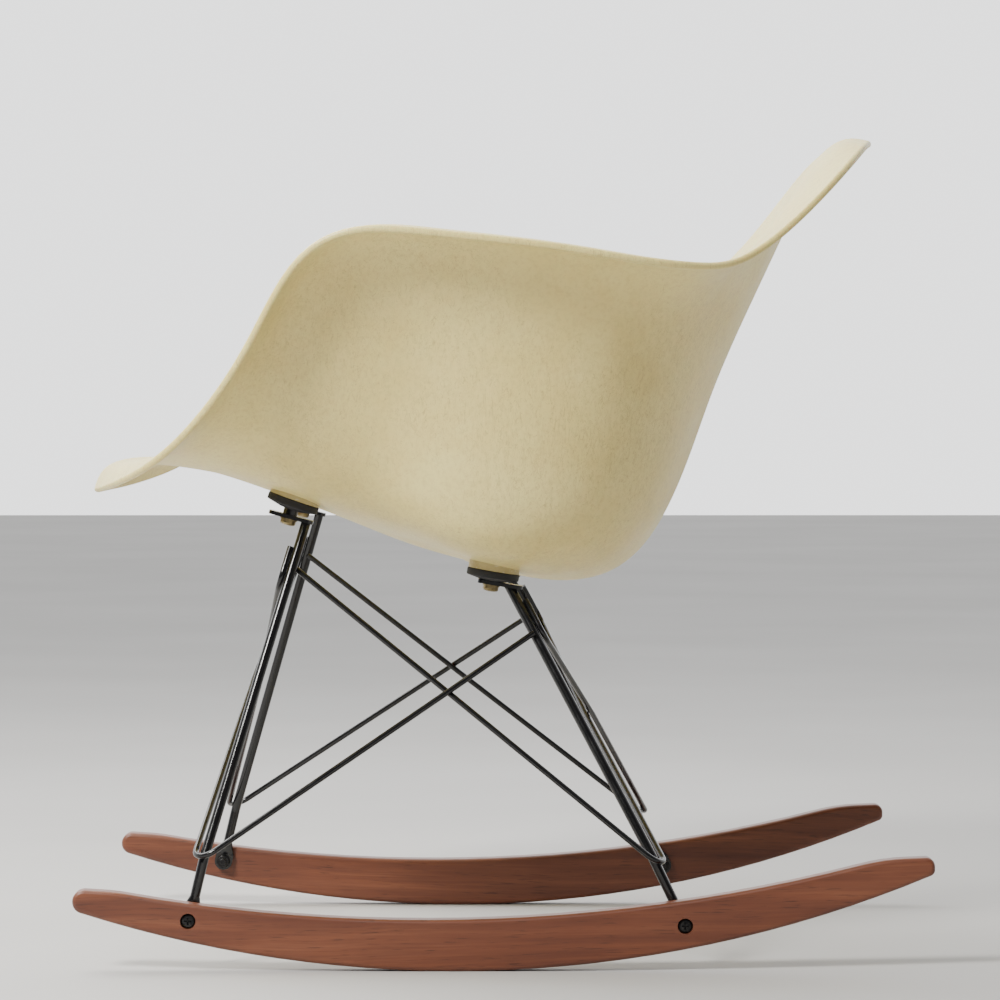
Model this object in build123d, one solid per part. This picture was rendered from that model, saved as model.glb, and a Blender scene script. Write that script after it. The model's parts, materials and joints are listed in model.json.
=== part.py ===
from build123d import *
import math
import os
import numpy as np

# Rocking chair: moulded fibreglass armchair shell on a bent-steel-rod base with two wooden rockers.
# Millimetres, +Z up. The chair faces -Y and is mirror-symmetric in X; its left side is +X.
# Origin: centre of the bounding box in plan, on the floor. Each sub-part is its own STEP file.

# ---- driving dimensions -------------------------------------------------------------------------

# seat shell
SHELL_T = 3.8                 # wall thickness
BEAD_T = 6.0                  # thickness of the rim bead
BEAD_FROM = 0.93              # the wall starts to thicken here, 1 being the rim
HUB_Y = -30.0                 # upright axis that the shell's headings are counted around
HUB_Z = 320.0                 # middle of the wall on that axis
SEAT_GRID = 41                # rows and columns of surface points

# steel rods
LEG_R = 3.97                  # 5/16 in rod
WIRE_R = 2.38                 # 3/16 in rod
WELD_GAP = 0.05               # left between rods that are welded side by side
BOW_GAP = 0.35                # each of two crossing wires bows this much past touching

# rockers
ROCKER_IN_X = 215.0           # inner face
ROCKER_T = 20.0               # thickness
SOLE_Y, SOLE_R = -37.5, 980.0             # where the sole touches the floor, and its radius
TOP_Y, TOP_Z, TOP_R = -60.3, 40.9, 1390.0  # lowest point of the top edge, and its radius
ROCKER_ROUND = 3.5            # edge rounding
FRONT_NOSE = (-341.4, 9.0, 9.0)  # y of the end, and its lower and upper corner radius
REAR_NOSE = (343.5, 5.0, 7.0)
FRONT_HIGH, REAR_HIGH = 65.2, 90.6       # height of the upper corners before rounding
FRONT_SHOULDER, REAR_SHOULDER = -308.0, 302.0  # the top edge turns flatter here
SHOULDER_R = 170.0

# 6 mm hardware
BOLT_R = 3.0
HOLE_R = 3.25
COUNTERBORE_R, COUNTERBORE_DEEP = 6.2, 5.0
WASHER_T = 1.2
SEAT_WASHER_R, ROCKER_WASHER_R = 7.2, 6.0
NUT_R, NUT_T = 5.77, 4.8      # across the corners, and height
ROCKER_HEAD_R, ROCKER_HEAD_T = 5.6, 3.8
SEAT_HEAD_R, SEAT_HEAD_T = 6.4, 4.8
RECESS_W, RECESS_L, RECESS_DEEP = 1.3, 5.6, 2.2

# legs
EYE_T, EYE_W = 5.0, 15.6      # the rod's end is pressed flat round the bolt
EYE_RISE, EYE_TAPER = 6.8, 11.0
FOOT_X = 211.0                # rod's axis at the foot
KNEE_Z, KNEE_OUT, KNEE_BEND = 88.0, 2.3, 25.0  # the knee stands out of line by this much
HEAD_X = 131.0                # rod's axis where it meets its mount plate
PAST_PLATE = 12.0             # extra rod that the plate's underside then trims

# braces
CORNER_OUT_X, CORNER_OUT_Y = 18.0, 7.9   # the wire's corner before bending, from the leg's axis
CORNER_BEND = 12.0
WELD_RUN = 29.0               # the cross arm lies along the other leg for this height
BOW_BEND = 40.0               # the slight bends where two wires are welded across each other
ARM_BEND = 12.0

# rubber mounts under the seat, on the left side; the right side is the mirror image
MOUNT_X = 128.0
DISC_R, DISC_T, DISC_EDGE_T, DISC_ROUND = 21.5, 8.5, 5.8, 1.2
DISC_FLAT_R = 9.0             # the disc's underside is a flat of this radius, then a cone
PAD_REACH = 16.0              # rough height of a pad before the shell trims it
INSERT_R, INSERT_T = 7.0, 6.0
SPACER_R = 6.0
PLATE_W, PLATE_L, PLATE_T, PLATE_CORNER = 20.0, 37.0, 3.0, 4.0

# disc: y and z of its middle; slopes: degrees down to the rear; drop: disc's middle to plate's
# middle along the screw; shift: plate's middle behind its screw; leg_back: leg behind the screw;
# bolt: y and z of the rocker bolt; outward: the side that the braces pass on
FRONT = {"disc": (-171.0, 368.4), "disc_slope": 19.5, "plate_slope": 15.0, "drop": 10.35,
         "shift": 1.65, "leg_back": 14.5, "bolt": (-249.5, 40.0), "outward": -1,
         "cross_top_z": 334.0, "corner_z": 82.3}
REAR = {"disc": (-7.6, 310.1), "disc_slope": 9.5, "plate_slope": 9.5, "drop": 5.75,
        "shift": 7.0, "leg_back": 15.5, "bolt": (145.1, 36.0), "outward": 1,
        "cross_top_z": 290.5, "corner_z": 76.0}
# a side arm ends beside the other leg at this height, outside it (+1) or inside it (-1)
SIDE_ARM = {"front": (264.5, 1), "rear": (318.0, -1)}
CORNERS = {"front": FRONT, "rear": REAR}

# ---- seat shell ---------------------------------------------------------------------------------
# Rings of (x, y, z) on the middle of the wall, for the left half, from the middle of the front
# lip round to the middle of the back. The surface runs smoothly through them from the hub outward.

FLOOR_RING = [(0, -90, 341), (70, -85, 340.5), (118, -58, 337.5), (150, -5, 321.5), (133, 42, 316),
              (80, 78, 311.5), (0, 92, 313)]
DISH_RING = [(0, -150, 362.5), (85, -146, 365), (142, -118, 361.5), (176, -78, 358), (197, -25, 345),
             (194, 35, 342), (166, 86, 348), (118, 121, 360), (60, 138, 371), (0, 144, 376)]
WALL_RING = [(0, -215, 386), (90, -207, 388), (150, -184, 384.5), (187, -145, 391), (213, -90, 419),
             (228, -30, 434), (226, 30, 432), (205, 85, 430), (160, 132, 440), (90, 163, 455),
             (0, 177, 463)]
THROAT_RING = [(0, -290, 403.5), (100, -278, 402), (160, -251, 405), (200, -216, 421),
               (226, -178, 451), (243, -135, 495), (254, -80, 530), (258, -20, 538), (252, 45, 532),
               (236, 96, 525), (206, 139, 525), (163, 178, 545), (104, 214, 575), (50, 230, 590),
               (0, 236, 594)]
CREST_RING = [(0, -334, 394), (110, -318, 396.5), (170, -292, 402), (208, -263, 413),
              (236, -231, 438), (256, -200, 478), (272, -171, 527), (284, -143, 564),
              (291, -110, 583), (293, -50, 583.5), (290, 20, 575.5), (282, 75, 567.5),
              (263, 120, 559.5), (243, 157, 556), (217, 190, 566), (197, 218, 588),
              (178, 245, 617), (152, 266, 643), (112, 280, 661), (60, 287, 668.5), (0, 288.5, 671)]
RIM_RING = [(0, -340.5, 376), (60, -336.5, 377), (120, -325, 380), (170, -306.5, 387),
            (215, -280, 402), (245, -253, 425), (267, -223, 460), (284, -197, 500),
            (297, -175, 540), (307, -153, 567), (312, -127, 581), (315, -70, 583), (314, 0, 576),
            (308, 60, 568.5), (296, 110, 561), (277, 150, 558), (252, 182, 561), (232, 207, 574),
            (217, 232, 594), (202, 256, 617), (178, 279, 641), (140, 295, 657), (80, 305, 664),
            (0, 308, 667)]


def spline_bends(knots, values):
    """Second derivatives of the natural cubic spline through values at knots."""
    count = len(knots)
    step = np.diff(knots)
    matrix = np.eye(count)
    right = np.zeros(values.shape)
    for i in range(1, count - 1):
        matrix[i, i - 1:i + 2] = step[i - 1], 2 * (step[i - 1] + step[i]), step[i]
        rise_after = (values[i + 1] - values[i]) / step[i]
        rise_before = (values[i] - values[i - 1]) / step[i - 1]
        right[i] = 6 * (rise_after - rise_before)
    return np.linalg.solve(matrix, right)


def spline_at(knots, values, bends, t):
    """Value of that spline at t."""
    i = int(np.clip(np.searchsorted(knots, t) - 1, 0, len(knots) - 2))
    step = knots[i + 1] - knots[i]
    a = (knots[i + 1] - t) / step
    b = (t - knots[i]) / step
    curve = ((a ** 3 - a) * bends[i] + (b ** 3 - b) * bends[i + 1]) * step * step / 6
    return a * values[i] + b * values[i + 1] + curve


class Ring:
    """A closed ring as radius and height over heading: 0 is the front, pi the back."""

    def __init__(self, points, overlap=4):
        heads = [math.atan2(x, HUB_Y - y) for x, y, z in points]
        rows = [(math.hypot(x, y - HUB_Y), z) for x, y, z in points]
        before = [-h for h in heads[overlap:0:-1]]
        after = [2 * math.pi - h for h in heads[-2:-2 - overlap:-1]]
        self.knots = np.array(before + heads + after)
        self.values = np.array(rows[overlap:0:-1] + rows + rows[-2:-2 - overlap:-1])
        self.bends = spline_bends(self.knots, self.values)

    def at(self, heading):
        folded = abs((heading + math.pi) % (2 * math.pi) - math.pi)
        return spline_at(self.knots, self.values, self.bends, folded)


RINGS = [Ring(r) for r in (FLOOR_RING, DISH_RING, WALL_RING, THROAT_RING, CREST_RING, RIM_RING)]


def meridian(heading):
    """The wall's section at one heading: a spline of radius and height, from hub to rim."""
    across = [RINGS[k].at(heading + math.pi) * (-1, 1) for k in (1, 0)]
    values = np.array(across + [(0, HUB_Z)] + [ring.at(heading) for ring in RINGS])
    chords = np.linalg.norm(np.diff(values, axis=0), axis=1) ** 0.75
    knots = np.concatenate([[0], np.cumsum(chords)])
    knots -= knots[len(across)]
    return knots, values, spline_bends(knots, values)


def shell_point(rho, heading, section=None):
    """A point on the middle of the wall: rho is 0 at the hub and 1 at the rim."""
    knots, values, bends = section or meridian(heading)
    radius, height = spline_at(knots, values, bends, rho * knots[-1])
    return np.array((radius * math.sin(heading), HUB_Y - radius * math.cos(heading), height))


def shell_skins(rho, heading):
    """The wall's upper and lower skin at one place."""
    small = 1e-3
    near = max(rho - small, 0)
    far = min(max(rho, small) + small, 1)
    middle = max(rho, small)
    section = meridian(heading)
    along = shell_point(far, heading, section) - shell_point(near, heading, section)
    around = shell_point(middle, heading + small) - shell_point(middle, heading - small)
    normal = np.cross(along, around)
    normal /= np.linalg.norm(normal)
    bead = min(max((rho - BEAD_FROM) / (1 - BEAD_FROM), 0), 1)
    half = (SHELL_T + (BEAD_T - SHELL_T) * bead * bead * (3 - 2 * bead)) / 2
    place = shell_point(rho, heading, section)
    return place + normal * half, place - normal * half


def seat_shell():
    """Closed shell: upper and lower skin on one square grid wrapped onto a disc, and four edges."""
    even = [2 * i / (SEAT_GRID - 1) - 1 for i in range(SEAT_GRID)]
    spread = [0.5 * e + 0.5 * math.sin(math.pi / 2 * e) for e in even]
    upper, lower = [], []
    for u in spread:
        row = []
        for v in spread:
            x = u * math.sqrt(1 - v * v / 2)
            y = v * math.sqrt(1 - u * u / 2)
            row.append(shell_skins(min(math.hypot(x, y), 1), math.atan2(x, -y)))
        upper.append([Vector(*high) for high, low in row])
        lower.append([Vector(*low) for high, low in row])
    skins = [Face.make_surface_from_array_of_points(grid, tol=0.1, min_deg=3, max_deg=8)
             for grid in (upper, lower)]
    faces = list(skins)
    for edge in skins[0].edges():
        twin = skins[1].edges().sort_by_distance(edge @ 0.5)[0]
        faces.append(Face.make_surface_from_curves(edge, twin))
    return Solid(Shell(faces))


# ---- fasteners, all standing on z = 0 with the shank along -Z ------------------------------------

def screw(head_r, head_t, shank):
    """Pan-head screw with a cross recess; its head is above z = 0."""
    wall = 0.45 * head_t
    dome = Polyline((0, 0), (head_r, 0), (head_r, wall))
    crown = Spline((head_r, wall), (0.62 * head_r, 0.9 * head_t), (0, head_t),
                   tangents=[(0, 1), (-1, 0)])
    profile = make_face(dome + crown + Line((0, head_t), (0, 0)))
    head = revolve(Plane.XZ * profile, axis=Axis.Z)
    slot = Pos(0, 0, head_t) * Box(RECESS_L, RECESS_W, 2 * RECESS_DEEP)
    head -= slot + Rot(0, 0, 90) * slot
    tip = 0.6
    stem = Pos(0, 0, -shank / 2) * Cylinder(BOLT_R, shank)
    stem = chamfer(stem.edges().group_by(Axis.Z)[0], tip)
    return head + stem


def washer(radius):
    """Flat washer, its upper face on z = 0."""
    ring = Circle(radius) - Circle(HOLE_R)
    return extrude(ring, -WASHER_T)


def nut():
    """Hexagon nut, its upper face on z = 0, the corners of its lower face eased."""
    body = extrude(RegularPolygon(NUT_R, 6) - Circle(BOLT_R), -NUT_T)
    ease = Pos(0, 0, -NUT_T / 2) * Cylinder(NUT_R - 0.1, NUT_T)
    ease = chamfer(ease.edges().group_by(Axis.Z)[0], 0.8)
    return body & ease


# ---- mounts under the seat ----------------------------------------------------------------------

def disc_frame(mount):
    """Middle of a rubber disc, +Z out of its upper face."""
    return Location((MOUNT_X, *mount["disc"]), (-mount["disc_slope"], 0, 0))


def screw_frame(mount):
    """Where a seat screw passes the underside of its plate, +Z up along the screw."""
    down = mount["drop"] + PLATE_T / 2
    return Location((MOUNT_X, *mount["disc"]), (-mount["plate_slope"], 0, 0)) * Pos(0, 0, -down)


def shock_mount(mount):
    """Rubber disc, thickest in the middle, with a pocket in its underside for the insert."""
    top, flat, edge = DISC_T / 2, -DISC_T / 2, DISC_T / 2 - DISC_EDGE_T
    section = Polyline((0, flat), (DISC_FLAT_R, flat), (DISC_R, edge), (DISC_R, top), (0, top), close=True)
    disc = revolve(Plane.XZ * make_face(section), axis=Axis.Z)
    rim = disc.edges().filter_by(lambda e: e.bounding_box().size.X > 2 * DISC_R - 1)
    disc = fillet(rim, DISC_ROUND)
    pocket = Pos(0, 0, (INSERT_T - DISC_T) / 2) * Cylinder(INSERT_R, INSERT_T)
    return disc_frame(mount) * (disc - pocket)


def seat_screw(mount):
    """Screw from under the plate up into the insert; its head is below."""
    grip = mount["drop"] + PLATE_T / 2 + WASHER_T - DISC_T / 2 + INSERT_T - 1.2
    upright = Rot(180, 0, 0) * screw(SEAT_HEAD_R, SEAT_HEAD_T, grip)
    return screw_frame(mount) * Pos(0, 0, -WASHER_T) * upright


def seat_washer(mount):
    return screw_frame(mount) * washer(SEAT_WASHER_R)


def mount_insert(mount):
    """Threaded insert moulded into the disc."""
    blank = disc_frame(mount) * Pos(0, 0, (INSERT_T - DISC_T) / 2) * Cylinder(INSERT_R, INSERT_T)
    return blank - seat_screw(mount)


def mount_spacer(mount):
    """Boss between plate and disc, its top cut to the disc's slope."""
    height = mount["drop"]
    ring = extrude(Circle(SPACER_R) - Circle(HOLE_R), height)
    above_disc = disc_frame(mount) * Pos(0, 0, 50 - DISC_T / 2) * Box(100, 100, 100)
    return screw_frame(mount) * Pos(0, 0, PLATE_T) * ring - above_disc


def mount_plate(mount):
    """Flat steel tab on top of a leg, with a hole for the seat screw."""
    tab = RectangleRounded(PLATE_W, PLATE_L, PLATE_CORNER)
    blank = Pos(0, mount["shift"], 0) * extrude(tab, PLATE_T)
    return screw_frame(mount) * (blank - Cylinder(HOLE_R, 4 * PLATE_T))


def mount_pad(mount, shell):
    """Wedge of resin that fills the space between the disc and the shell's underside."""
    blank = Pos(0, 0, (DISC_T + PAD_REACH) / 2) * Cylinder(DISC_R - 0.5, PAD_REACH)
    pieces = (disc_frame(mount) * blank - shell).solids()
    return pieces.sort_by(Axis.Z)[0]


# ---- legs ---------------------------------------------------------------------------------------

def leg_axis(mount):
    """Axis of a left leg: at its bolt, at its knee, and at the underside of its plate."""
    foot = Vector(FOOT_X, *mount["bolt"])
    top = (screw_frame(mount) * Pos(HEAD_X - MOUNT_X, mount["leg_back"], 0)).position
    lean = (top.Y - foot.Y) / (top.Z - foot.Z)
    knee_y = foot.Y + lean * (KNEE_Z - foot.Z) + mount["outward"] * KNEE_OUT
    knee = Vector(FOOT_X, knee_y, KNEE_Z)
    return foot, knee, top


def leg_at(mount, z):
    """Point at height z on the straight upper run of a left leg's axis."""
    foot, knee, top = leg_axis(mount)
    return knee + (top - knee) * ((z - KNEE_Z) / (top.Z - KNEE_Z))


def beside_leg(mount, z, way):
    """Axis of a wire that touches a left leg at height z on the side that the level vector way faces."""
    foot, knee, top = leg_axis(mount)
    slant = (top - knee).normalized().dot(way)
    return leg_at(mount, z) + way * ((LEG_R + WIRE_R + WELD_GAP) / math.sqrt(1 - slant * slant))


def rod(points, bends, thickness_r):
    """Round rod along straight runs joined by bends."""
    path = FilletPolyline(*points, radius=bends)
    return sweep(Plane(origin=path @ 0, z_dir=path % 0) * Circle(thickness_r), path=path)


def leg(mount):
    """Steel rod: flattened eye at the rocker, a knee, and a top cut flush under its plate."""
    foot, knee, top = leg_axis(mount)
    up = (knee - foot).normalized()
    lean = math.degrees(math.atan2(knee.Y - foot.Y, knee.Z - foot.Z))
    eye_frame = Location((ROCKER_IN_X - EYE_T / 2, foot.Y, foot.Z), (-lean, 0, 0))
    bolt_line = Rot(0, 90, 0)
    eye = Pos(0, 0, EYE_RISE / 2) * Box(EYE_T, EYE_W, EYE_RISE)
    eye += bolt_line * Cylinder(EYE_W / 2, EYE_T)
    flat_end = Plane(eye_frame * Pos(0, 0, EYE_RISE - 0.5))
    round_end = Plane(origin=foot + up * (EYE_RISE + EYE_TAPER), x_dir=(1, 0, 0), z_dir=up)
    neck = loft([flat_end * Ellipse(EYE_T / 2, EYE_W / 2), round_end * Circle(LEG_R)])
    past = top + (top - knee).normalized() * PAST_PLATE
    stem = rod([round_end.origin, knee, past], KNEE_BEND, LEG_R)
    above_plate = screw_frame(mount) * Pos(0, 0, 50) * Box(100, 100, 100)
    whole = eye_frame * eye + neck + stem - above_plate
    return whole - eye_frame * (bolt_line * Cylinder(HOLE_R, 4 * EYE_T))


# ---- braces -------------------------------------------------------------------------------------

def brace_corner(mount):
    """Where a brace wire turns round the foot of a left leg."""
    beside = leg_at(mount, mount["corner_z"])
    return Vector(FOOT_X + CORNER_OUT_X, beside.Y + mount["outward"] * CORNER_OUT_Y, beside.Z)


def side_arm_end(end):
    """Where the side arm of the brace from this end's foot meets the other leg of that side."""
    z, side = SIDE_ARM[end]
    other = REAR if end == "front" else FRONT
    return beside_leg(other, z, Vector(side, 0, 0))


def side_crossing():
    """Middle of the place where the two side arms of one side cross."""
    a, b = brace_corner(FRONT), side_arm_end("front")
    c, d = brace_corner(REAR), side_arm_end("rear")
    ab, cd, ac = b - a, d - c, c - a
    t = (ac.Y * cd.Z - ac.Z * cd.Y) / (ab.Y * cd.Z - ab.Z * cd.Y)
    on_front = a + ab * t
    u = (on_front.Y - c.Y) / cd.Y
    return (on_front + c + cd * u) * 0.5


def brace(end, bow):
    """Wire round a left foot: one arm up the side, the other across to the leg opposite."""
    mount = CORNERS[end]
    corner = brace_corner(mount)
    clear = WIRE_R + BOW_GAP
    side_way = 1 if end == "front" else -1
    side_mid = side_crossing() + Vector(side_way * clear, 0, 0)
    outward = Vector(0, mount["outward"], 0)
    ends = [beside_leg(mount, mount["cross_top_z"] - fall, outward) for fall in (0, WELD_RUN)]
    high, low = [Vector(-p.X, p.Y, p.Z) for p in ends]
    cross_mid = corner + (low - corner) * (corner.X / (corner.X - low.X))
    cross_mid += Vector(0, bow * clear, 0)
    points = [side_arm_end(end), side_mid, corner, cross_mid, low, high]
    return rod(points, [BOW_BEND, CORNER_BEND, BOW_BEND, ARM_BEND], WIRE_R)


# ---- rockers ------------------------------------------------------------------------------------

def sole_z(y):
    return SOLE_R - math.sqrt(SOLE_R ** 2 - (y - SOLE_Y) ** 2)


def top_z(y):
    return TOP_Z + TOP_R - math.sqrt(TOP_R ** 2 - (y - TOP_Y) ** 2)


def rocker_bolt_frame(mount):
    """Floor of the counterbore, +Z outward along the bolt."""
    face_x = ROCKER_IN_X + ROCKER_T - COUNTERBORE_DEEP
    return Location((face_x, *mount["bolt"]), (0, 90, 0))


def rocker():
    """Left wooden runner: arc sole, flatter arc top, rounded noses, two counterbored holes."""
    (front_y, front_sole, front_top), (rear_y, rear_sole, rear_top) = FRONT_NOSE, REAR_NOSE
    sole = ThreePointArc((front_y, sole_z(front_y)), (SOLE_Y, 0), (rear_y, sole_z(rear_y)))
    top = ThreePointArc((REAR_SHOULDER, top_z(REAR_SHOULDER)), (TOP_Y, TOP_Z),
                        (FRONT_SHOULDER, top_z(FRONT_SHOULDER)))
    rear_end = Polyline(sole @ 1, (rear_y, REAR_HIGH), top @ 0)
    front_end = Polyline(top @ 1, (front_y, FRONT_HIGH), sole @ 0)
    outline = make_face(sole + rear_end + top + front_end)
    for radius, place in ((front_sole, sole @ 0), (rear_sole, sole @ 1),
                          (front_top, front_end.vertices()[1]), (rear_top, rear_end.vertices()[1]),
                          (SHOULDER_R, top @ 0), (SHOULDER_R, top @ 1)):
        outline = fillet(outline.vertices().sort_by_distance(place)[0], radius)
    blank = extrude(Plane.YZ.offset(ROCKER_IN_X) * outline, ROCKER_T)
    rims = blank.faces().filter_by(Axis.X).edges()
    runner = fillet(rims, ROCKER_ROUND)
    for mount in CORNERS.values():
        frame = rocker_bolt_frame(mount)
        runner -= frame * Pos(0, 0, COUNTERBORE_DEEP) * Cylinder(COUNTERBORE_R, 2 * COUNTERBORE_DEEP)
        runner -= frame * Cylinder(HOLE_R, 4 * ROCKER_T)
    return runner


def rocker_bolt(mount):
    stack = ROCKER_T - COUNTERBORE_DEEP + EYE_T + WASHER_T + NUT_T
    return rocker_bolt_frame(mount) * screw(ROCKER_HEAD_R, ROCKER_HEAD_T, stack + 2)


def inner_stack_frame(mount):
    """Inner face of a leg's eye, +Z outward along the bolt."""
    return Location((ROCKER_IN_X - EYE_T, *mount["bolt"]), (0, 90, 0))


def rocker_washer(mount):
    return inner_stack_frame(mount) * washer(ROCKER_WASHER_R)


def rocker_nut(mount):
    return inner_stack_frame(mount) * Pos(0, 0, -WASHER_T) * Rot(0, 0, 12) * nut()


# ---- the whole chair ----------------------------------------------------------------------------

def chair():
    """Every node by name."""
    shell = seat_shell()
    nodes = {"seat_shell": shell}
    left = {"rocker": rocker()}
    for end, mount in CORNERS.items():
        left[f"mount_pad_{end}"] = mount_pad(mount, shell)
        left[f"shock_mount_{end}"] = shock_mount(mount)
        left[f"mount_insert_{end}"] = mount_insert(mount)
        left[f"mount_plate_{end}"] = mount_plate(mount)
        left[f"seat_screw_{end}"] = seat_screw(mount)
        left[f"seat_washer_{end}"] = seat_washer(mount)
        left[f"leg_{end}"] = leg(mount)
        left[f"rocker_bolt_{end}"] = rocker_bolt(mount)
        left[f"rocker_washer_{end}"] = rocker_washer(mount)
        left[f"rocker_nut_{end}"] = rocker_nut(mount)
    left["mount_spacer_front"] = mount_spacer(FRONT)
    for name, solid in left.items():
        nodes[f"{name}_left"] = solid
        nodes[f"{name}_right"] = mirror(solid, about=Plane.YZ)
    for end in CORNERS:
        nodes[f"brace_{end}_left"] = brace(end, -1)
        nodes[f"brace_{end}_right"] = mirror(brace(end, 1), about=Plane.YZ)
    return nodes


os.makedirs("parts", exist_ok=True)
for name, solid in chair().items():
    export_step(solid, f"parts/{name}.step")
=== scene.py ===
"""Looks for the rocking chair: a fibreglass armchair shell on a crossed rod base with wooden rockers.

Metres, +Z up, the chair faces -Y, its left side is +X. The CAD frame gives every place.
"""
import json
import math

import bpy
import numpy as np
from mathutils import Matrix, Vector


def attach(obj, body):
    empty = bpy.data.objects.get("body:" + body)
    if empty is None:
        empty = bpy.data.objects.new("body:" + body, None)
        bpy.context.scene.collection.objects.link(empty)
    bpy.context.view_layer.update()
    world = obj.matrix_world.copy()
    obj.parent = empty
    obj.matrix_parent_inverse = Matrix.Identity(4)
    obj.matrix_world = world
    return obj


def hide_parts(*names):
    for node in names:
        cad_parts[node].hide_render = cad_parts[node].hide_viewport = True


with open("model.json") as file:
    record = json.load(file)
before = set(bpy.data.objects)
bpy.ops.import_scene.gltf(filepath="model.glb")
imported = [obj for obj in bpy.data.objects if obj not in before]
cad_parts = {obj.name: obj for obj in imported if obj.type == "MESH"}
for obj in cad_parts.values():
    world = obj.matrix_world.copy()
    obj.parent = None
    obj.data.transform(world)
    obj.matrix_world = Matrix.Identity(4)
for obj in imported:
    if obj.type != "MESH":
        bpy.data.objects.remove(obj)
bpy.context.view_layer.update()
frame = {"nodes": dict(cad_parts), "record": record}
NODES = frame["nodes"]
ROOT = "root"

# ---- seat shell: the same rings as the CAD solid, in millimetres ----------------------------------

SHELL_T = 3.8
BEAD_T = 6.0
BEAD_FROM = 0.93
HUB_Y = -30.0
HUB_Z = 320.0
FLOOR_RING = [(0, -90, 341), (70, -85, 340.5), (118, -58, 337.5), (150, -5, 321.5), (133, 42, 316),
              (80, 78, 311.5), (0, 92, 313)]
DISH_RING = [(0, -150, 362.5), (85, -146, 365), (142, -118, 361.5), (176, -78, 358),
             (197, -25, 345), (194, 35, 342), (166, 86, 348), (118, 121, 360), (60, 138, 371),
             (0, 144, 376)]
WALL_RING = [(0, -215, 386), (90, -207, 388), (150, -184, 384.5), (187, -145, 391), (213, -90, 419),
             (228, -30, 434), (226, 30, 432), (205, 85, 430), (160, 132, 440), (90, 163, 455),
             (0, 177, 463)]
THROAT_RING = [(0, -290, 403.5), (100, -278, 402), (160, -251, 405), (200, -216, 421),
               (226, -178, 451), (243, -135, 495), (254, -80, 530), (258, -20, 538), (252, 45, 532),
               (236, 96, 525), (206, 139, 525), (163, 178, 545), (104, 214, 575), (50, 230, 590),
               (0, 236, 594)]
CREST_RING = [(0, -334, 394), (110, -318, 396.5), (170, -292, 402), (208, -263, 413),
              (236, -231, 438), (256, -200, 478), (272, -171, 527), (284, -143, 564),
              (291, -110, 583), (293, -50, 583.5), (290, 20, 575.5), (282, 75, 567.5),
              (263, 120, 559.5), (243, 157, 556), (217, 190, 566), (197, 218, 588),
              (178, 245, 617), (152, 266, 643), (112, 280, 661), (60, 287, 668.5), (0, 288.5, 671)]
RIM_RING = [(0, -340.5, 376), (60, -336.5, 377), (120, -325, 380), (170, -306.5, 387),
            (215, -280, 402), (245, -253, 425), (267, -223, 460), (284, -197, 500),
            (297, -175, 540), (307, -153, 567), (312, -127, 581), (315, -70, 583), (314, 0, 576),
            (308, 60, 568.5), (296, 110, 561), (277, 150, 558), (252, 182, 561), (232, 207, 574),
            (217, 232, 594), (202, 256, 617), (178, 279, 641), (140, 295, 657), (80, 305, 664),
            (0, 308, 667)]
HEADINGS = 240           # mesh columns round the shell
ROWS = 84                # mesh rows from hub to rim
RIM_STEPS = 6            # rows round the rounded rim
ROW_SPREAD = 0.9         # under 1, rows stand closer towards the rim
RIM_DEPTH = 0.9          # how far the rounding reaches past the last row, in half thicknesses


def spline_bends(knots, values):
    """Second derivatives of the natural cubic spline through values at knots."""
    count = len(knots)
    step = np.diff(knots)
    matrix = np.eye(count)
    right = np.zeros(values.shape)
    for i in range(1, count - 1):
        matrix[i, i - 1:i + 2] = step[i - 1], 2 * (step[i - 1] + step[i]), step[i]
        rise_after = (values[i + 1] - values[i]) / step[i]
        rise_before = (values[i] - values[i - 1]) / step[i - 1]
        right[i] = 6 * (rise_after - rise_before)
    return np.linalg.solve(matrix, right)


def spline_at(knots, values, bends, where):
    """Values of that spline at an array of places."""
    i = np.clip(np.searchsorted(knots, where) - 1, 0, len(knots) - 2)
    step = (knots[i + 1] - knots[i])[:, None]
    a = (knots[i + 1] - where)[:, None] / step
    b = 1 - a
    curve = ((a ** 3 - a) * bends[i] + (b ** 3 - b) * bends[i + 1]) * step * step / 6
    return a * values[i] + b * values[i + 1] + curve


def ring_at(points, headings, overlap=4):
    """Radius and height of a ring at each heading: 0 is the front, pi the back."""
    heads = [math.atan2(x, HUB_Y - y) for x, y, z in points]
    rows = [(math.hypot(x, y - HUB_Y), z) for x, y, z in points]
    before = [-h for h in heads[overlap:0:-1]]
    after = [2 * math.pi - h for h in heads[-2:-2 - overlap:-1]]
    knots = np.array(before + heads + after)
    values = np.array(rows[overlap:0:-1] + rows + rows[-2:-2 - overlap:-1])
    folded = np.abs((headings + math.pi) % (2 * math.pi) - math.pi)
    return spline_at(knots, values, spline_bends(knots, values), folded)


def wall_middle(share):
    """The middle of the wall as a grid of points, rows from hub to rim by columns of headings."""
    headings = np.arange(HEADINGS) * 2 * math.pi / HEADINGS
    rings = [ring_at(r, headings)
             for r in (FLOOR_RING, DISH_RING, WALL_RING, THROAT_RING, CREST_RING, RIM_RING)]
    across = [ring_at(r, headings + math.pi) * (-1, 1) for r in (DISH_RING, FLOOR_RING)]
    hub = np.tile((0.0, HUB_Z), (HEADINGS, 1))
    grid = np.zeros((len(share), HEADINGS, 3))
    for j, heading in enumerate(headings):
        values = np.array([r[j] for r in across + [hub] + rings])
        chords = np.linalg.norm(np.diff(values, axis=0), axis=1) ** 0.75
        knots = np.concatenate([[0], np.cumsum(chords)])
        knots -= knots[len(across)]
        radius, height = spline_at(knots, values, spline_bends(knots, values), share * knots[-1]).T
        grid[:, j] = np.stack((radius * math.sin(heading), HUB_Y - radius * math.cos(heading),
                               height), axis=1)
    return grid


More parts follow.
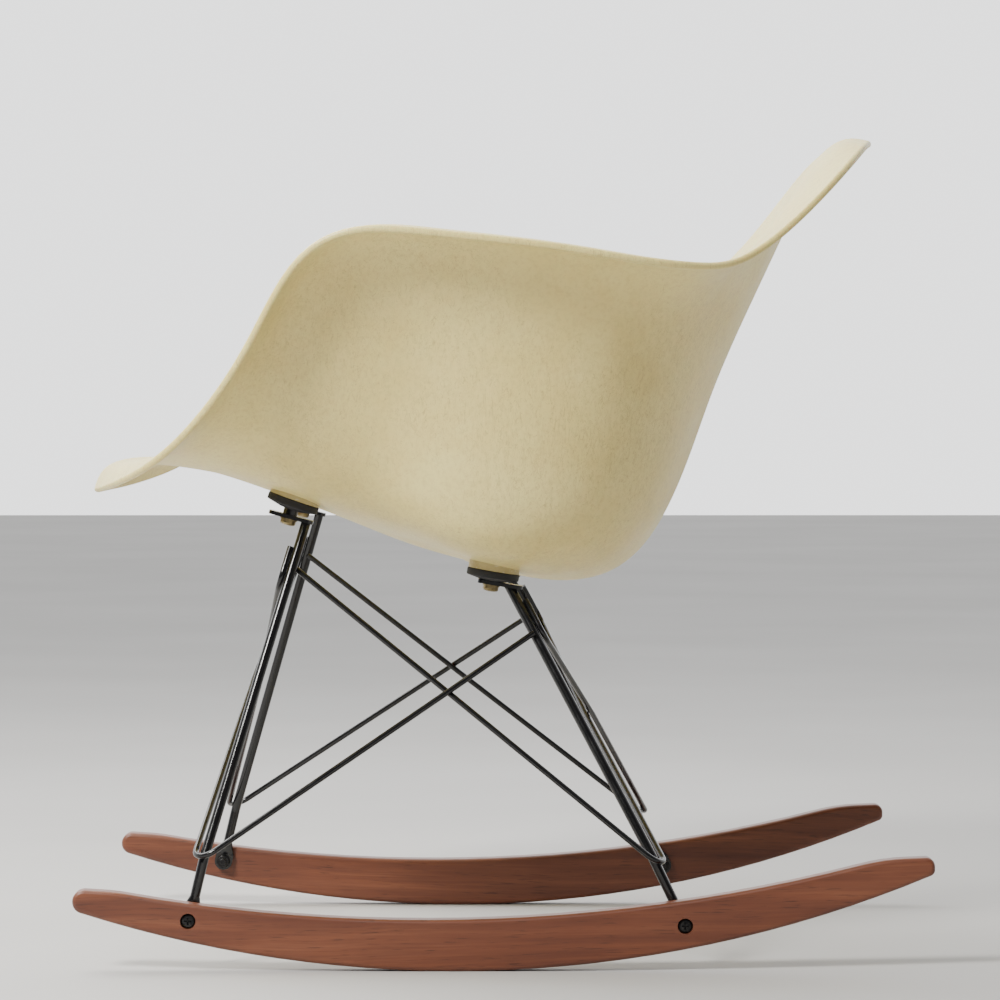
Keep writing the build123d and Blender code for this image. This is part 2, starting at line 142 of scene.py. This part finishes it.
def wall_normals(grid):
    """Unit normals of that grid, pointing to the sitter's side."""
    along = np.gradient(grid, axis=0)
    around = np.roll(grid, -1, axis=1) - np.roll(grid, 1, axis=1)
    normals = np.cross(along, around)
    normals[0] = normals[1].mean(axis=0)
    return normals / np.linalg.norm(normals, axis=2, keepdims=True)


def new_mesh(name, points, faces):
    """A mesh piece that rides on the chair."""
    mesh = bpy.data.meshes.new(name)
    mesh.from_pydata([tuple(p) for p in points], [], faces)
    mesh.validate()
    mesh.polygons.foreach_set("use_smooth", [True] * len(mesh.polygons))
    piece = bpy.data.objects.new(name, mesh)
    bpy.context.scene.collection.objects.link(piece)
    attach(piece, ROOT)
    return piece


def seat_shell():
    """Closed shell mesh with a rounded, slightly thicker rim."""
    share = np.linspace(0, 1, ROWS) ** ROW_SPREAD
    grid = wall_middle(share)
    normals = wall_normals(grid)
    bead = np.clip((share - BEAD_FROM) / (1 - BEAD_FROM), 0, 1)
    half = (SHELL_T + (BEAD_T - SHELL_T) * bead * bead * (3 - 2 * bead)) / 2
    # the rounding ends where the CAD edge does, so the last wall row stops short of it
    edge = grid[-1].copy()
    inward = grid[-2] - grid[-1]
    inward /= np.linalg.norm(inward, axis=1, keepdims=True)
    grid[-1] = edge + inward * half[-1] * RIM_DEPTH
    upper = grid + normals * half[:, None, None]
    lower = grid - normals * half[:, None, None]
    rows = [upper[i] for i in range(1, ROWS)]
    for k in range(1, RIM_STEPS):
        turn = math.pi * k / RIM_STEPS
        rows.append(grid[-1] + normals[-1] * half[-1] * math.cos(turn)
                    - inward * half[-1] * RIM_DEPTH * math.sin(turn))
    rows += [lower[i] for i in range(ROWS - 1, 0, -1)]
    points = [upper[0, 0]] + [p for row in rows for p in row] + [lower[0, 0]]
    last = len(points) - 1
    faces = []
    for j in range(HEADINGS):
        k = (j + 1) % HEADINGS
        faces.append((0, 1 + j, 1 + k))
        base = 1 + (len(rows) - 1) * HEADINGS
        faces.append((last, base + k, base + j))
        for i in range(len(rows) - 1):
            a = 1 + i * HEADINGS
            b = a + HEADINGS
            faces.append((a + j, b + j, b + k, a + k))
    shell = new_mesh("fibreglass_shell", np.array(points) / 1000, faces)
    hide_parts("seat_shell")
    return shell


# ---- materials ------------------------------------------------------------------------------------

MIX_INPUTS, MIX_OUTPUT = (0, 6, 7), 2      # a colour mix node's share, two colours and result


class Paint:
    """A small helper that builds one node material."""

    def __init__(self, name):
        self.material = bpy.data.materials.new(name)
        self.material.use_nodes = True
        self.tree = self.material.node_tree
        self.shader = self.tree.nodes["Principled BSDF"]
        self.place = self.node("ShaderNodeTexCoord").outputs["Object"]

    def node(self, kind, **settings):
        made = self.tree.nodes.new(kind)
        for key, value in settings.items():
            setattr(made, key, value)
        return made

    def link(self, source, target):
        self.tree.links.new(source, target)

    def mapped(self, scale=(1, 1, 1), turn=(0, 0, 0), source=None):
        mapping = self.node("ShaderNodeMapping")
        mapping.inputs["Scale"].default_value = scale
        mapping.inputs["Rotation"].default_value = turn
        self.link(source or self.place, mapping.inputs["Vector"])
        return mapping.outputs["Vector"]

    def noise(self, vector, scale, detail=4, rough=0.5, distort=0.0):
        noise = self.node("ShaderNodeTexNoise")
        noise.inputs["Scale"].default_value = scale
        noise.inputs["Detail"].default_value = detail
        noise.inputs["Roughness"].default_value = rough
        noise.inputs["Distortion"].default_value = distort
        self.link(vector, noise.inputs["Vector"])
        return noise.outputs["Fac"]

    def ramp(self, value, stops):
        """stops are (place, colour or grey level)."""
        ramp = self.node("ShaderNodeValToRGB")
        elements = ramp.color_ramp.elements
        while len(elements) < len(stops):
            elements.new(0.5)
        for element, (place, colour) in zip(elements, stops):
            element.position = place
            level = colour if hasattr(colour, "__len__") else (colour, colour, colour)
            element.color = (*level, 1)
        self.link(value, ramp.inputs["Fac"])
        return ramp.outputs["Color"]

    def mix(self, share, first, second):
        """share, first and second are sockets or plain values."""
        mix = self.node("ShaderNodeMix", data_type="RGBA")
        sockets = [mix.inputs[i] for i in MIX_INPUTS]
        for socket, value in zip(sockets, (share, first, second)):
            if isinstance(value, bpy.types.NodeSocket):
                self.link(value, socket)
            elif hasattr(value, "__len__"):
                socket.default_value = (*value, 1)
            else:
                socket.default_value = value
        return mix.outputs[MIX_OUTPUT]

    def math(self, operation, first, second=0.0):
        node = self.node("ShaderNodeMath", operation=operation)
        for socket, value in zip(node.inputs, (first, second)):
            if isinstance(value, bpy.types.NodeSocket):
                self.link(value, socket)
            else:
                socket.default_value = value
        return node.outputs[0]

    def bump(self, height, strength, distance, below=None):
        bump = self.node("ShaderNodeBump")
        bump.inputs["Strength"].default_value = strength
        bump.inputs["Distance"].default_value = distance
        self.link(height, bump.inputs["Height"])
        if below is not None:
            self.link(below, bump.inputs["Normal"])
        return bump.outputs["Normal"]

    def finish(self, colour=None, rough=None, normal=None, **fixed):
        if colour is not None:
            self.link(colour, self.shader.inputs["Base Color"])
        if rough is not None:
            self.link(rough, self.shader.inputs["Roughness"])
        if normal is not None:
            self.link(normal, self.shader.inputs["Normal"])
        for key, value in fixed.items():
            self.shader.inputs[key.replace("_", " ")].default_value = value
        return self.material


FIBRE_TURNS = [(0.2, 0.1, 0.3), (0.9, 0.5, 1.2), (1.7, 0.8, 2.3), (2.4, 1.3, 0.4), (0.6, 2.1, 1.8),
               (1.2, 2.8, 2.9)]


def fibreglass():
    """Polyester resin over chopped strand: hair-fine strands, soft cloudiness, satin gloss."""
    paint = Paint("fibreglass")
    strands = None
    for turn in FIBRE_TURNS:
        field = paint.noise(paint.mapped((190, 190, 22), turn), 1.0, detail=2.5, rough=0.55,
                            distort=0.5)
        line = paint.ramp(field, [(0.0, 0.0), (0.493, 0.0), (0.5, 1.0), (0.507, 0.0)])
        patch = paint.noise(paint.mapped((9, 9, 9), turn), 1.0, detail=1)
        gate = paint.ramp(patch, [(0.44, 0.0), (0.56, 1.0)])
        line = paint.math("MULTIPLY", line, gate)
        strands = line if strands is None else paint.math("MAXIMUM", strands, line)
    cloud = paint.noise(paint.place, 7, detail=5, rough=0.6)
    base = paint.mix(paint.ramp(cloud, [(0.3, 0.0), (0.7, 1.0)]), (0.73, 0.60, 0.20),
                     (0.86, 0.765, 0.315))
    speck = paint.noise(paint.place, 220, detail=3, rough=0.7)
    base = paint.mix(paint.ramp(speck, [(0.45, 0.0), (0.75, 0.32)]), base, (0.50, 0.37, 0.14))
    colour = paint.mix(paint.math("MULTIPLY", strands, 0.55), base, (0.36, 0.24, 0.09))
    rough = paint.ramp(paint.noise(paint.place, 30, detail=4), [(0.3, 0.34), (0.7, 0.48)])
    normal = paint.bump(paint.noise(paint.place, 420, detail=3), 0.10, 0.0004)
    normal = paint.bump(strands, 0.12, 0.0002, normal)
    return paint.finish(colour, rough, normal, Subsurface_Weight=0.10, Subsurface_Scale=0.006,
                        Coat_Weight=0.15, Coat_Roughness=0.3)


def walnut():
    """Oiled red-brown wood, the grain running along the runner, with pores and cathedral streaks."""
    paint = Paint("walnut")
    warp = paint.noise(paint.mapped((6, 1.6, 6)), 1.0, detail=3)
    shifted = paint.node("ShaderNodeVectorMath", operation="MULTIPLY_ADD")
    paint.link(paint.place, shifted.inputs[0])
    shifted.inputs[1].default_value = (1, 1, 1)
    lift = paint.node("ShaderNodeCombineXYZ")
    paint.link(paint.math("MULTIPLY", warp, 0.05), lift.inputs["Z"])
    paint.link(paint.math("MULTIPLY", warp, 0.03), lift.inputs["X"])
    paint.link(lift.outputs["Vector"], shifted.inputs[2])
    bent = shifted.outputs["Vector"]
    broad = paint.noise(paint.mapped((55, 3.2, 75), source=bent), 1.0, detail=5, rough=0.6)
    fine = paint.noise(paint.mapped((420, 9, 520), source=bent), 1.0, detail=3, rough=0.65)
    pores = paint.noise(paint.mapped((900, 42, 1000), source=bent), 1.0, detail=2, rough=0.5)
    colour = paint.ramp(broad, [(0.26, (0.074, 0.020, 0.010)), (0.42, (0.124, 0.034, 0.015)),
                                (0.58, (0.174, 0.052, 0.022)), (0.76, (0.247, 0.084, 0.037))])
    colour = paint.mix(paint.ramp(fine, [(0.35, 0.45), (0.62, 0.0)]), colour,
                       (0.095, 0.028, 0.014))
    pore_mask = paint.ramp(pores, [(0.30, 1.0), (0.39, 0.0)])
    colour = paint.mix(paint.math("MULTIPLY", pore_mask, 0.55), colour, (0.022, 0.008, 0.005))
    rough = paint.ramp(fine, [(0.3, 0.52), (0.7, 0.36)])
    normal = paint.bump(pore_mask, -0.35, 0.0003)
    normal = paint.bump(fine, 0.12, 0.0003, normal)
    return paint.finish(colour, rough, normal, Coat_Weight=0.08, Coat_Roughness=0.35)


def black_enamel():
    """Baked black paint on rod: semi-gloss, slightly orange-peeled, dusty and rubbed in places."""
    paint = Paint("black_enamel")
    rub = paint.noise(paint.place, 34, detail=6, rough=0.7)
    colour = paint.mix(paint.ramp(rub, [(0.60, 0.0), (0.78, 0.55)]), (0.006, 0.006, 0.0065),
                       (0.022, 0.021, 0.019))
    chips = paint.noise(paint.place, 260, detail=4, rough=0.75)
    chip_mask = paint.ramp(chips, [(0.73, 0.0), (0.77, 1.0)])
    colour = paint.mix(paint.math("MULTIPLY", chip_mask, 0.35), colour, (0.06, 0.048, 0.036))
    rough = paint.ramp(paint.noise(paint.place, 90, detail=4), [(0.3, 0.12), (0.7, 0.24)])
    normal = paint.bump(paint.noise(paint.place, 500, detail=2), 0.04, 0.0002)
    return paint.finish(colour, rough, normal)


def rubber():
    """Aged black rubber with a grey bloom and a matt, gritty face."""
    paint = Paint("aged_rubber")
    bloom = paint.noise(paint.place, 60, detail=5, rough=0.65)
    colour = paint.ramp(bloom, [(0.35, (0.007, 0.007, 0.007)), (0.7, (0.024, 0.023, 0.024))])
    rough = paint.ramp(bloom, [(0.3, 0.62), (0.7, 0.85)])
    normal = paint.bump(paint.noise(paint.place, 900, detail=3), 0.3, 0.0004)
    return paint.finish(colour, rough, normal)


def resin():
    """Cast resin pad, yellowed, with glass flecks."""
    paint = Paint("yellowed_resin")
    cloud = paint.noise(paint.place, 80, detail=5, rough=0.6)
    colour = paint.ramp(cloud, [(0.3, (0.38, 0.30, 0.12)), (0.7, (0.54, 0.44, 0.20))])
    fleck = paint.noise(paint.mapped((600, 90, 600), (0.4, 0.2, 0.9)), 1.0, detail=2)
    colour = paint.mix(paint.ramp(fleck, [(0.62, 0.0), (0.68, 0.6)]), colour, (0.62, 0.58, 0.40))
    rough = paint.ramp(cloud, [(0.3, 0.35), (0.7, 0.55)])
    normal = paint.bump(fleck, 0.25, 0.0003)
    return paint.finish(colour, rough, normal)


def zinc_yellow():
    """Yellow-passivated steel, dulled and stained."""
    paint = Paint("yellow_zinc")
    stain = paint.noise(paint.place, 150, detail=5, rough=0.65)
    colour = paint.ramp(stain, [(0.3, (0.10, 0.075, 0.035)), (0.55, (0.28, 0.22, 0.11)),
                                (0.75, (0.42, 0.37, 0.22))])
    rough = paint.ramp(stain, [(0.3, 0.55), (0.7, 0.30)])
    normal = paint.bump(paint.noise(paint.place, 1200, detail=2), 0.1, 0.0002)
    return paint.finish(colour, rough, normal, Metallic=1.0)


def black_oxide():
    """Blackened fasteners, worn brighter on their high spots."""
    paint = Paint("black_oxide")
    wear = paint.noise(paint.place, 240, detail=5, rough=0.7)
    colour = paint.ramp(wear, [(0.45, (0.008, 0.008, 0.009)), (0.72, (0.045, 0.042, 0.040))])
    rough = paint.ramp(wear, [(0.3, 0.48), (0.7, 0.30)])
    normal = paint.bump(wear, 0.15, 0.0002)
    return paint.finish(colour, rough, normal, Metallic=0.6)


def dress_nodes():
    """Gives each CAD node the material of its slot."""
    makers = {"fibreglass": fibreglass, "walnut": walnut, "black_steel": black_enamel,
              "rubber": rubber, "resin_pad": resin, "brass_hardware": zinc_yellow,
              "black_hardware": black_oxide}
    made = {slot: maker() for slot, maker in makers.items()}
    slots = {s["node"]: s["material_slot"] for s in frame["record"]["subparts"]}
    for name, node in NODES.items():
        for material_slot in node.material_slots:
            material_slot.material = made[slots[name]]
    return made


# ---- stage ----------------------------------------------------------------------------------------

EYE = Vector((3.565, -0.009, 0.447))      # where the camera stands
FOCAL = 4.210                             # focal length over the picture's width
PITCH = math.radians(1.252)               # down
YAW = math.radians(0.122)                 # towards the rear of the chair
WALL_LIGHT, ROOM_LIGHT = 2.2, 0.10        # brightness of the surroundings at -X and at +X
WALL_AT, ROOM_AT = -0.95, 0.5             # X of the directions where each of the two is reached
FLOOR_HALF = 14.0                         # half the floor's side


def stage():
    """Pale floor, pale surroundings, soft window light from the chair's front and above."""
    scene = bpy.context.scene
    side = FLOOR_HALF
    mesh = bpy.data.meshes.new("floor")
    mesh.from_pydata([(-side, -side, 0), (side, -side, 0), (side, side, 0), (-side, side, 0)], [],
                     [(0, 1, 2, 3)])
    floor = bpy.data.objects.new("floor", mesh)
    scene.collection.objects.link(floor)
    paint = Paint("pale_floor")
    tone = paint.noise(paint.place, 1.5, detail=3)
    colour = paint.ramp(tone, [(0.3, (0.47, 0.46, 0.445)), (0.7, (0.52, 0.51, 0.495))])
    mesh.materials.append(paint.finish(colour, Roughness=0.75))

    # surroundings like a room with a bright wall on the chair's right side (-X)
    world = bpy.data.worlds.new("studio")
    world.use_nodes = True
    tree = world.node_tree
    way = tree.nodes.new("ShaderNodeSeparateXYZ")
    tree.links.new(tree.nodes.new("ShaderNodeTexCoord").outputs["Generated"], way.inputs[0])
    level = tree.nodes.new("ShaderNodeMapRange")
    level.interpolation_type = "SMOOTHSTEP"
    level.inputs["From Min"].default_value = WALL_AT
    level.inputs["From Max"].default_value = ROOM_AT
    level.inputs["To Min"].default_value = WALL_LIGHT
    level.inputs["To Max"].default_value = ROOM_LIGHT
    tree.links.new(way.outputs["X"], level.inputs["Value"])
    background = tree.nodes["Background"]
    background.inputs["Color"].default_value = (0.99, 0.995, 1.0, 1)
    tree.links.new(level.outputs["Result"], background.inputs["Strength"])
    scene.world = world

    def area(name, place, target, size, power, colour):
        data = bpy.data.lights.new(name, "AREA")
        data.shape = "RECTANGLE"
        data.size, data.size_y = size
        data.energy = power
        data.color = colour
        lamp = bpy.data.objects.new(name, data)
        lamp.location = place
        lamp.rotation_euler = (Vector(target) - Vector(place)).to_track_quat("-Z", "Y").to_euler()
        scene.collection.objects.link(lamp)

    area("window", (2.1, -1.7, 2.3), (0, -0.02, 0.42), (0.8, 0.8), 165, (1.0, 0.985, 0.95))
    area("ceiling", (-0.7, -1.2, 2.3), (0, 0, 0.45), (1.6, 1.6), 80, (1.0, 0.99, 0.97))

    data = bpy.data.cameras.new("camera")
    data.sensor_width = 36
    data.lens = 36 * FOCAL
    data.clip_end = 60
    camera = bpy.data.objects.new("camera", data)
    camera.location = EYE
    camera.rotation_euler = (math.pi / 2 - PITCH, 0, math.pi / 2 - YAW)
    scene.collection.objects.link(camera)
    scene.camera = camera


materials = dress_nodes()
shell = seat_shell()
shell.data.materials.append(materials["fibreglass"])
stage()
